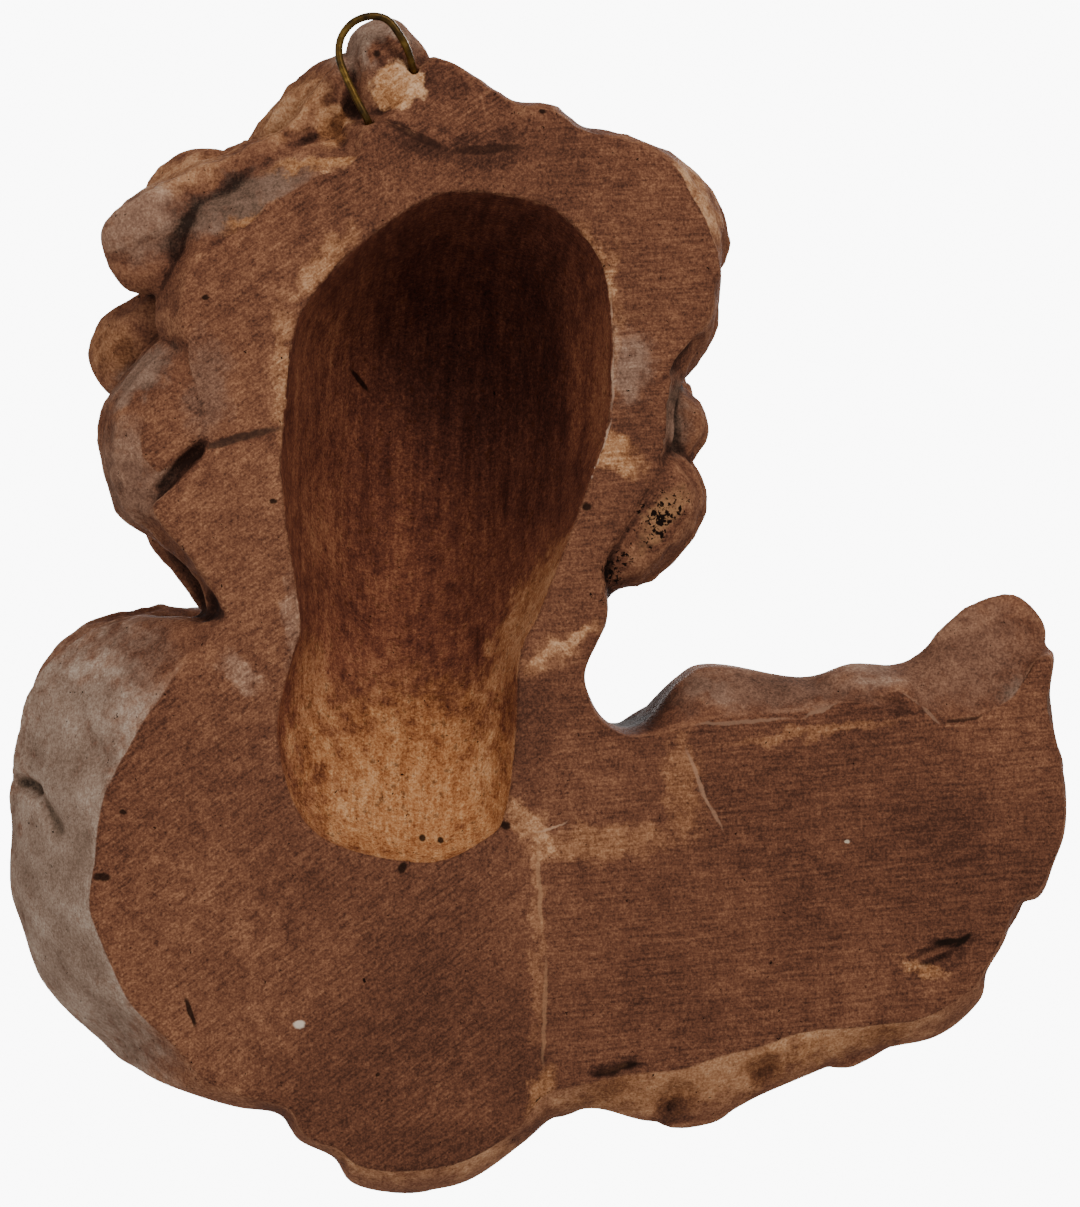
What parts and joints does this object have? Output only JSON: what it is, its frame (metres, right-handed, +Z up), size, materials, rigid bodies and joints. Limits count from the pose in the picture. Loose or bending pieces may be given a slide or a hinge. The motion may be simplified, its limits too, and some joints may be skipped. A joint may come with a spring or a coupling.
{
  "type": "carved cherub wall ornament",
  "caption": "Wooden cherub head between two feathered wings, carved in high relief from one block, with a flat sawn back, a gouged hollow and a wire loop to hang it from.",
  "frame": {"origin": "on the sawn back plane, on the solid wood between the hollow and the wire loop, where the back rests against the wall", "axes": "+Z up as it hangs, +Y out of the sawn back towards the wall, -Y the way the face looks, +X towards the cherub's own left"},
  "size_m": [0.2284, 0.0948, 0.25],
  "materials": {
    "carved_wood": "hand-carved wood, stained brown, rubbed lighter on the edges, the back sawn flat",
    "brass_wire": "drawn brass wire, tarnished dark"
  },
  "bodies": {
    "root": {"carving": "carved_wood", "hanging_wire": "brass_wire"}
  },
  "joints": []
}
